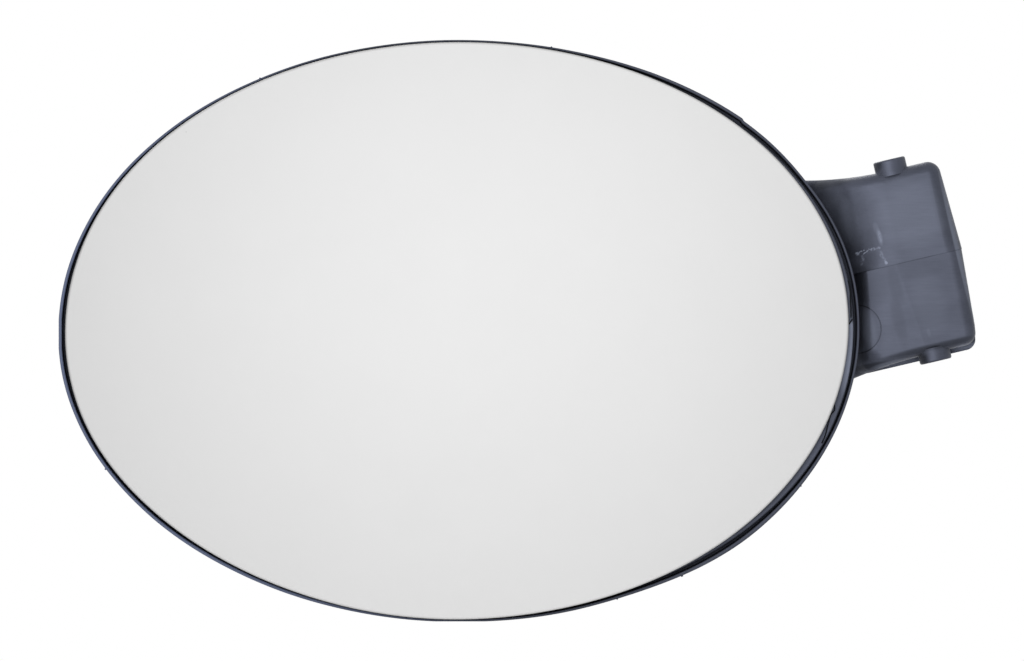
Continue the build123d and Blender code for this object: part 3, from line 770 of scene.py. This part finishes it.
def node_shape(node):
    """A merged copy of a frame node's mesh."""
    source = frame["nodes"][node].data
    shape = bmesh.new()
    corners = [shape.verts.new(vertex.co) for vertex in source.vertices]
    for polygon in source.polygons:
        shape.faces.new([corners[index] for index in polygon.vertices])
    bmesh.ops.remove_doubles(shape, verts=shape.verts, dist=MERGE_DISTANCE)
    bmesh.ops.dissolve_degenerate(shape, edges=shape.edges, dist=MERGE_DISTANCE)
    return shape


def new_object(name, data):
    """An object in the scene with some data."""
    item = bpy.data.objects.new(name, data)
    bpy.context.scene.collection.objects.link(item)
    return item


def smooth_object(name, shape):
    """An object from a shape, shaded smooth but for its sharp edges."""
    for face in shape.faces:
        face.smooth = True
    for edge in shape.edges:
        edge.smooth = edge.is_manifold and edge.calc_face_angle(math.pi) < SHARP_ANGLE
    mesh = bpy.data.meshes.new(name)
    shape.to_mesh(mesh)
    shape.free()
    piece = new_object(name, mesh)
    weighted = piece.modifiers.new("even shading", "WEIGHTED_NORMAL")
    weighted.keep_sharp = True
    return baked(piece)


def baked(piece):
    """The piece with its modifiers turned into a plain mesh."""
    depsgraph = bpy.context.evaluated_depsgraph_get()
    mesh = bpy.data.meshes.new_from_object(piece.evaluated_get(depsgraph), depsgraph=depsgraph)
    piece.modifiers.clear()
    piece.data = mesh
    return piece


def place_piece(piece, material=None, nodes=()):
    """Puts a piece on the door's body, with its finish and the frame nodes that it stands for."""
    if material:
        piece.data.materials.clear()
        piece.data.materials.append(material)
    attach(piece, BODY)
    if nodes:
        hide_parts(*nodes)


def points_object(name, paths):
    """An object of loose points, or of paths where a path has several points."""
    points = []
    edges = []
    for path in paths:
        edges += [(step, step + 1) for step in range(len(points), len(points) + len(path) - 1)]
        points += path
    mesh = bpy.data.meshes.new(name)
    mesh.from_pydata(points, edges, [])
    return new_object(name, mesh)


def new_tree(name, inputs):
    """A Geometry Nodes tree with a geometry in and out and these named inputs."""
    tree = bpy.data.node_groups.new(name, "GeometryNodeTree")
    tree.interface.new_socket("Geometry", in_out="INPUT", socket_type="NodeSocketGeometry")
    for label, kind in inputs:
        tree.interface.new_socket(label, in_out="INPUT", socket_type=f"NodeSocket{kind}")
    tree.interface.new_socket("Geometry", in_out="OUTPUT", socket_type="NodeSocketGeometry")
    return Nodes(tree)


def given(nodes, label):
    """One of the tree's own inputs."""
    return nodes.add("NodeGroupInput", output=label)


def end_tree(nodes, geometry):
    """Ends a tree: instances are made real and get the material."""
    real = nodes.add("GeometryNodeRealizeInstances", {}, {"Geometry": geometry})
    sockets = {"Geometry": real, "Material": given(nodes, "Material")}
    painted = nodes.add("GeometryNodeSetMaterial", {}, sockets)
    nodes.add("NodeGroupOutput", {}, {"Geometry": painted})
    return nodes.tree


def repeats_tree():
    """A shape set on each point, each at its own size."""
    nodes = new_tree("repeated shape", (
        ("Shape", "Object"),
        ("Smallest", "Float"),
        ("Largest", "Float"),
        ("Seed", "Int"),
        ("Material", "Material"),
    ))
    shape = nodes.add("GeometryNodeObjectInfo", {}, {"Object": given(nodes, "Shape")}, "Geometry")
    limits = {2: given(nodes, "Smallest"), 3: given(nodes, "Largest"), "Seed": given(nodes, "Seed")}
    scale = nodes.add("FunctionNodeRandomValue", {"data_type": "FLOAT"}, limits, output=1)
    sockets = {"Points": given(nodes, "Geometry"), "Instance": shape, "Scale": scale}
    return end_tree(nodes, nodes.add("GeometryNodeInstanceOnPoints", {}, sockets))


def threads_tree():
    """A thread along each path, which wanders a little and changes its width."""
    nodes = new_tree("threads", (
        ("Width", "Float"),
        ("Step", "Float"),
        ("Wiggle", "Float"),
        ("Grain", "Float"),
        ("Seed", "Float"),
        ("Material", "Material"),
    ))
    path = nodes.add("GeometryNodeMeshToCurve", {}, {"Mesh": given(nodes, "Geometry")})
    lengths = {"Curve": path, "Length": given(nodes, "Step")}
    path = nodes.add("GeometryNodeResampleCurve", {"mode": "LENGTH"}, lengths)
    wave = {"Scale": given(nodes, "Grain"), "Detail": 3.0, "W": given(nodes, "Seed")}
    noise = nodes.add("ShaderNodeTexNoise", {"noise_dimensions": "4D"}, wave, output=1)
    centred = vector_math(nodes, "SUBTRACT", noise, (0.5, 0.5, 0.5))
    level = vector_math(nodes, "MULTIPLY", centred, (1, 0, 1))
    shift = {0: level, "Scale": given(nodes, "Wiggle")}
    offset = nodes.add("ShaderNodeVectorMath", {"operation": "SCALE"}, shift)
    path = nodes.add("GeometryNodeSetPosition", {}, {"Geometry": path, "Offset": offset})
    swell = nodes.add("ShaderNodeTexNoise", {"noise_dimensions": "4D"}, wave)
    width = rising(nodes, swell, 0.3, 0.7) * (1 - LEAST_THREAD) + LEAST_THREAD
    path = nodes.add("GeometryNodeSetCurveRadius", {}, {"Curve": path, "Radius": width})
    circle = {"Resolution": THREAD_SIDES, "Radius": given(nodes, "Width") * 0.5}
    profile = nodes.add("GeometryNodeCurvePrimitiveCircle", {}, circle)
    tube = {"Curve": path, "Profile Curve": profile, "Fill Caps": True}
    return end_tree(nodes, nodes.add("GeometryNodeCurveToMesh", {}, tube))


def run_tree(piece, tree, values):
    """The piece's mesh made by a tree, with the tree's inputs set by name."""
    modifier = piece.modifiers.new(tree.name, "NODES")
    modifier.node_group = tree
    for item in tree.interface.items_tree:
        if item.in_out == "INPUT" and item.name in values:
            modifier[item.identifier] = values[item.name]
    return baked(piece)


def panel_section(panel, turn):
    """The panel's section at an angle, from the middle of its front round to the middle of its back."""
    reach = smooth_reach(PANEL_REACH, turn) * MM
    middle = Vector((OVAL_CENTRE.x, 0, OVAL_CENTRE.z))

    def crowned(part, offset, depth):
        """A point some part of the way from the middle to the edge, sunk as the crown falls."""
        rim = oval_point(turn, reach + offset, 0)
        point = middle + (rim - middle) * part
        spread = math.hypot((point.x - middle.x) / HALF_LENGTH, (point.z - middle.z) / HALF_HEIGHT)
        point.y = depth + panel.crown * min(spread, 1) ** 2
        return point

    parts = [step / CROWN_STEPS for step in range(CROWN_STEPS + 1)]
    front = [crowned(part, -panel.edge_round, CROWN_Y) for part in parts]
    round_centre = (-panel.edge_round, front[-1].y + panel.edge_round)
    arc = round_arc(round_centre, panel.edge_round, EDGE_ROUND_START, 0, BEND_STEPS)
    bend = [oval_point(turn, reach + out, depth) for out, depth in arc]
    seat = [oval_point(turn, reach + out, SEAT_Y) for out in (0, -panel.seat_width)]
    back = [crowned(part, -panel.seat_width, CROWN_Y + panel.wall) for part in reversed(parts)]
    return front + bend + seat + back


def stake_section(panel, turn):
    """A staked stud's section at an angle: its shank, and the flattened head behind the plate."""
    stud = panel.stud_diameter / 2
    head = panel.head_diameter / 2
    plate_back = panel.plate
    tip = plate_back + panel.head_height
    soft = panel.head_height / 2
    start = -panel.wall - SHANK_SINK
    profile = [(0, start), (stud, start), (stud, plate_back)]
    profile += [(head - HEAD_CHAMFER, plate_back), (head, plate_back + HEAD_CHAMFER)]
    profile += round_arc((head - soft, tip - soft), soft, 0, 90, BEND_STEPS)
    profile += [(head * part, tip - depth * MM) for part, depth in DISH]
    across = math.cos(math.radians(turn))
    down = math.sin(math.radians(turn))
    return [Vector((out * across, depth, out * down)) for out, depth in profile]


def lip_reach(seal, turn):
    """How far the lip stands out from the panel's oval at an angle, with its step and unevenness."""
    reach = smooth_reach(LIP_REACH, turn) * MM
    rise = min(max((turn - LIP_STEP_START) / (LIP_STEP_END - LIP_STEP_START), 0), 1)
    if turn > LIP_STEP_END:
        rise = max(1 - (turn - LIP_STEP_END) * LIP_STEP_FALL, 0)
    wave = 0
    for count, start, strength in LIP_WAVES:
        wave += strength * math.sin(math.radians(turn * count + start))
    return reach + seal.step * rise**2 + seal.ripple * wave


def seal_section(seal, turn):
    """The seal's closed section at an angle: the base behind the plate and the leaning lip."""
    reach = min(lip_reach(seal, turn), limit_reach(turn))
    half = smooth_reach(LIP_THICKNESS, turn) * MM / 2
    back = SEAL_HIGH.y
    base_top = back - seal.base_height
    groove_floor = base_top + seal.groove_depth
    foot = reach - seal.lip_lean
    groove_outer = foot - 2 * half
    groove_inner = groove_outer - seal.groove_width
    crown = seal.lip_crown / half
    top = round_arc((reach - half, 0), half, 0, -180, LIP_TOP_STEPS)
    profile = [(out, SEAL_LOW.y + seal.lip_crown + depth * crown) for out, depth in top]
    profile += [(groove_outer, groove_floor), (groove_inner, groove_floor), (groove_inner, base_top)]
    profile += [(-seal.bead_distance, base_top), (-seal.bead_distance, back)]
    profile += [(foot - FOOT_CHAMFER, back), (foot, back - FOOT_CHAMFER), (foot, base_top)]
    return [oval_point(turn, out, depth) for out, depth in profile]


def limit_reach(turn):
    """How far out the lip may stand at an angle before it leaves the box of the solids."""
    edge = oval_point(turn, 0, 0)
    out = oval_point(turn, 1, 0) - edge
    room_across = SEAL_HIGH.x - edge.x if out.x > 0 else edge.x - SEAL_LOW.x
    room_up = SEAL_HIGH.z - edge.z if out.z > 0 else edge.z - SEAL_LOW.z
    least_slope = 0.001
    return min(room_across / max(abs(out.x), least_slope), room_up / max(abs(out.z), least_slope))


def burr_reach(seal, turn):
    """How far out a burr's middle stands, on the lip and inside the box of the solids."""
    return min(lip_reach(seal, turn) - seal.burr * BURR_SINK, limit_reach(turn) - seal.burr * BURR_ROOM)


def burr_shape():
    """A small uneven lump."""
    shape = bmesh.new()
    bmesh.ops.create_icosphere(shape, subdivisions=2, radius=0.5)
    for vertex in shape.verts:
        vertex.co *= 1 + BURR_LUMPS * math.sin(vertex.co.x * 9 + vertex.co.z * 7)
    return shape


def on_front(tree, point):
    """The place where a line straight into the door meets a shape."""
    start = Vector((point.x, CAD_BOX[0].y - CLEAR_OF_PART, point.z))
    hit = tree.ray_cast(start, INWARD)[0]
    if hit is None:
        raise RuntimeError(f"no surface behind {point}")
    return hit


def stud_place(angle):
    """A stud's place on the seat plane, by its angle from the hinge side."""
    turn = math.radians(angle)
    return Vector((
        OVAL_CENTRE.x + (HALF_LENGTH - STUD_EDGE_DISTANCE) * math.cos(turn),
        SEAT_Y,
        OVAL_CENTRE.z + (HALF_HEIGHT - STUD_EDGE_DISTANCE) * math.sin(turn),
    ))


class FUELDOOR_OT_outer_panel(bpy.types.Operator):
    """Makes the crowned outer panel and its staked studs"""

    bl_idname = "fuel_door.outer_panel"
    bl_label = "Outer Panel"

    def execute(self, context):
        panel = context.scene.fuel_door_panel
        primer = primer_finish(context.scene.fuel_door_finishes)
        skin_shape = swept_ring(lambda turn: panel_section(panel, turn), OVAL_STEPS, closed=False)
        skin = smooth_object("panel_skin", skin_shape)
        place_piece(skin, primer, ["outer_panel"])
        stake_shape = swept_ring(lambda turn: stake_section(panel, turn), ROUND_STEPS, closed=False)
        stake = smooth_object("stake", stake_shape)
        places = [[stud_place(angle)] for angle in STUD_ANGLES]
        stakes = run_tree(points_object("panel_stakes", places), repeats_tree(), {
            "Shape": stake, "Smallest": 1.0, "Largest": 1.0, "Seed": 1, "Material": primer,
        })
        bpy.data.objects.remove(stake)
        place_piece(stakes, nodes=["outer_panel"])
        return {"FINISHED"}


class FUELDOOR_OT_carrier(bpy.types.Operator):
    """Dresses the carrier and adds the marks on its ledge"""

    bl_idname = "fuel_door.carrier"
    bl_label = "Carrier"

    def execute(self, context):
        marks = context.scene.fuel_door_marks
        finishes = context.scene.fuel_door_finishes
        plate = smooth_object("carrier_plate", node_shape("carrier"))
        place_piece(plate, carrier_finish(finishes), ["carrier"])
        paths = [
            [oval_point(turn, (smooth_reach(PANEL_REACH, turn) + out) * MM, SEAT_Y) for turn, out in mark]
            for mark in (LEDGE_CRACK, LEDGE_NOTCH, LEDGE_SHADE)
        ]
        cracks = run_tree(points_object("ledge_cracks", paths), threads_tree(), {
            "Width": marks.crack_width,
            "Step": CRACK_STEP,
            "Wiggle": marks.wiggle,
            "Grain": 1 / CRACK_BEND,
            "Seed": CRACK_SEED,
            "Material": crack_finish(finishes),
        })
        place_piece(cracks)
        return {"FINISHED"}


class FUELDOOR_OT_edge_seal(bpy.types.Operator):
    """Makes the rubber seal with its thin lip and the burrs on it"""

    bl_idname = "fuel_door.edge_seal"
    bl_label = "Edge Seal"

    def execute(self, context):
        seal = context.scene.fuel_door_seal
        finishes = context.scene.fuel_door_finishes
        # Depths of the painted shade in the groove beside the lip
        groove = [SEAL_LOW.y + depth * MM for depth in GROOVE_SHADE_DEPTHS]
        rubber = rubber_finish("seal rubber", finishes.rubber, 0.5, finishes.dark, *groove, finishes.pale_lip)
        ring_shape = swept_ring(lambda turn: seal_section(seal, turn), LIP_STEPS, closed=True)
        ring = smooth_object("seal_ring", ring_shape)
        place_piece(ring, rubber, ["edge_seal"])
        burr = smooth_object("burr", burr_shape())
        depth = SEAL_LOW.y + seal.burr
        places = [[oval_point(turn, burr_reach(seal, turn), depth)] for turn in LIP_BURRS]
        largest = seal.burr * BURR_LARGEST
        burrs = run_tree(points_object("lip_burrs", places), repeats_tree(), {
            "Shape": burr, "Smallest": seal.burr, "Largest": largest, "Seed": 5, "Material": rubber,
        })
        bpy.data.objects.remove(burr)
        place_piece(burrs)
        return {"FINISHED"}


class FUELDOOR_OT_bump_stops(bpy.types.Operator):
    """Dresses the two rubber stops"""

    bl_idname = "fuel_door.bump_stops"
    bl_label = "Bump Stops"

    def execute(self, context):
        finishes = context.scene.fuel_door_finishes
        low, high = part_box("bump_stop_upper")
        # Painted shade darkens each stop towards its front end
        rubber = rubber_finish("stop rubber", finishes.stop, 0.6, finishes.dark, high.y, low.y)
        for node in ("bump_stop_upper", "bump_stop_lower"):
            stop = smooth_object(node.replace("bump", "rubber"), node_shape(node))
            place_piece(stop, rubber, [node])
        return {"FINISHED"}


class FUELDOOR_OT_hinge_arm(bpy.types.Operator):
    """Dresses the hinge arm and adds the scuffs where its gate was broken off"""

    bl_idname = "fuel_door.hinge_arm"
    bl_label = "Hinge Arm"

    def execute(self, context):
        marks = context.scene.fuel_door_marks
        finishes = context.scene.fuel_door_finishes
        shape = node_shape("hinge_arm")
        draw_in_corner(shape)
        tree = BVHTree.FromBMesh(shape)
        arm = smooth_object("arm_moulding", shape)
        note_front(arm)
        place_piece(arm, arm_finish(finishes, marks), ["hinge_arm"])
        paths = [[on_front(tree, arm_point(*place)) for place in path] for path in SCUFFS]
        scuffs = run_tree(points_object("gate_scuffs", paths), threads_tree(), {
            "Width": marks.scuff_width,
            "Step": SCUFF_STEP,
            "Wiggle": marks.wiggle,
            "Grain": 1 / SCUFF_BEND,
            "Seed": SCUFF_SEED,
            "Material": scuff_finish(finishes),
        })
        place_piece(scuffs)
        return {"FINISHED"}


class FUELDOOR_OT_arm_screws(bpy.types.Operator):
    """Dresses the screws through the arm's foot"""

    bl_idname = "fuel_door.arm_screws"
    bl_label = "Arm Screws"

    def execute(self, context):
        screws = smooth_object("foot_screws", node_shape("arm_screws"))
        place_piece(screws, zinc_finish(context.scene.fuel_door_finishes), ["arm_screws"])
        return {"FINISHED"}


def area_lamp(name, place, target, width, power):
    """A square soft lamp that doesn't show in the picture."""
    lamp = bpy.data.lights.new(name, "AREA")
    lamp.size = width
    lamp.energy = power
    holder = new_object(name, lamp)
    holder.location = place
    holder.rotation_euler = (target - place).to_track_quat("-Z", "Y").to_euler()
    holder.visible_camera = False


def white_world(strength):
    """White where the camera and clear or shiny surfaces show it, and a soft light otherwise."""
    world = bpy.data.worlds.new("studio white")
    world.use_nodes = True
    world.node_tree.nodes.clear()
    nodes = Nodes(world.node_tree)
    seen = 0
    for kind in ("Camera", "Glossy", "Transmission"):
        seen = seen + nodes.add("ShaderNodeLightPath", output=f"Is {kind} Ray")
    light = nodes.add("ShaderNodeBackground", {}, {"Color": (1, 1, 1, 1), "Strength": strength})
    white = nodes.add("ShaderNodeBackground", {}, {"Color": (1, 1, 1, 1), "Strength": 1.0})
    both = nodes.add("ShaderNodeMixShader", {}, {0: seen.math("MINIMUM", seen, 1.0), 1: light, 2: white})
    nodes.add("ShaderNodeOutputWorld", {}, {"Surface": both})
    return world


class FUELDOOR_OT_stage(bpy.types.Operator):
    """Makes the floor, the light and the camera"""

    bl_idname = "fuel_door.stage"
    bl_label = "Stage"

    def execute(self, context):
        scene = context.scene
        stage = scene.fuel_door_stage
        middle = Vector((OVAL_CENTRE.x, SEAT_Y, OVAL_CENTRE.z))
        floor_centre = middle - Vector((0, 0, stage.floor_drop))
        disc = bmesh.new()
        bmesh.ops.create_circle(disc, cap_ends=True, segments=FLOOR_STEPS, radius=stage.floor_radius)
        bmesh.ops.translate(disc, verts=disc.verts, vec=floor_centre)
        floor = smooth_object("floor", disc)
        floor.data.materials.append(floor_finish(scene.fuel_door_finishes, floor_centre, stage.floor_radius))
        scene.world = white_world(stage.sky)
        front_aim = middle + FRONT_LAMP_AIM
        area_lamp("front lamp", middle + FRONT_LAMP_PLACE, front_aim, FRONT_LAMP_WIDTH, stage.key)
        area_lamp("back lamp", middle + BACK_LAMP_PLACE, middle, BACK_LAMP_WIDTH, stage.back)
        lens = bpy.data.cameras.new("camera")
        lens.sensor_width = SENSOR_WIDTH
        lens.lens = lens.sensor_width * stage.distance / stage.view_width
        lens.clip_end = CAMERA_RANGE
        camera = new_object("camera", lens)
        edge_y = CROWN_Y + scene.fuel_door_panel.crown
        aim = Vector((OVAL_CENTRE.x + stage.aim_across, edge_y, OVAL_CENTRE.z - stage.aim_down))
        camera.location = aim - Vector((0, stage.distance, 0))
        camera.rotation_euler = (math.pi / 2, 0, 0)
        scene.camera = camera
        scene.view_settings.view_transform = "Standard"
        return {"FINISHED"}


class FUELDOOR_PT_sidebar(bpy.types.Panel):
    """Lists the pieces of the fuel door"""

    bl_idname = "FUELDOOR_PT_sidebar"
    bl_label = "Fuel Door"
    bl_space_type = "VIEW_3D"
    bl_region_type = "UI"
    bl_category = "Fuel Door"

    def draw(self, context):
        for step in STEPS:
            self.layout.operator(step.bl_idname)


GROUPS = {
    "fuel_door_panel": PanelSizes,
    "fuel_door_seal": SealSizes,
    "fuel_door_marks": MarkSizes,
    "fuel_door_finishes": Finishes,
    "fuel_door_stage": StageSizes,
}
STEPS = (
    FUELDOOR_OT_outer_panel,
    FUELDOOR_OT_carrier,
    FUELDOOR_OT_edge_seal,
    FUELDOOR_OT_bump_stops,
    FUELDOOR_OT_hinge_arm,
    FUELDOOR_OT_arm_screws,
    FUELDOOR_OT_stage,
)


def register():
    for group in GROUPS.values():
        bpy.utils.register_class(group)
    for name, group in GROUPS.items():
        setattr(bpy.types.Scene, name, bpy.props.PointerProperty(type=group))
    for step in STEPS:
        bpy.utils.register_class(step)
    bpy.utils.register_class(FUELDOOR_PT_sidebar)


def unregister():
    bpy.utils.unregister_class(FUELDOOR_PT_sidebar)
    for step in reversed(STEPS):
        bpy.utils.unregister_class(step)
    for name in GROUPS:
        delattr(bpy.types.Scene, name)
    for group in reversed(GROUPS.values()):
        bpy.utils.unregister_class(group)


def main():
    """Makes every piece and the stage."""
    register()
    bpy.ops.fuel_door.outer_panel()
    bpy.ops.fuel_door.carrier()
    bpy.ops.fuel_door.edge_seal()
    bpy.ops.fuel_door.bump_stops()
    bpy.ops.fuel_door.hinge_arm()
    bpy.ops.fuel_door.arm_screws()
    bpy.ops.fuel_door.stage()


if __name__ == "__main__":
    main()
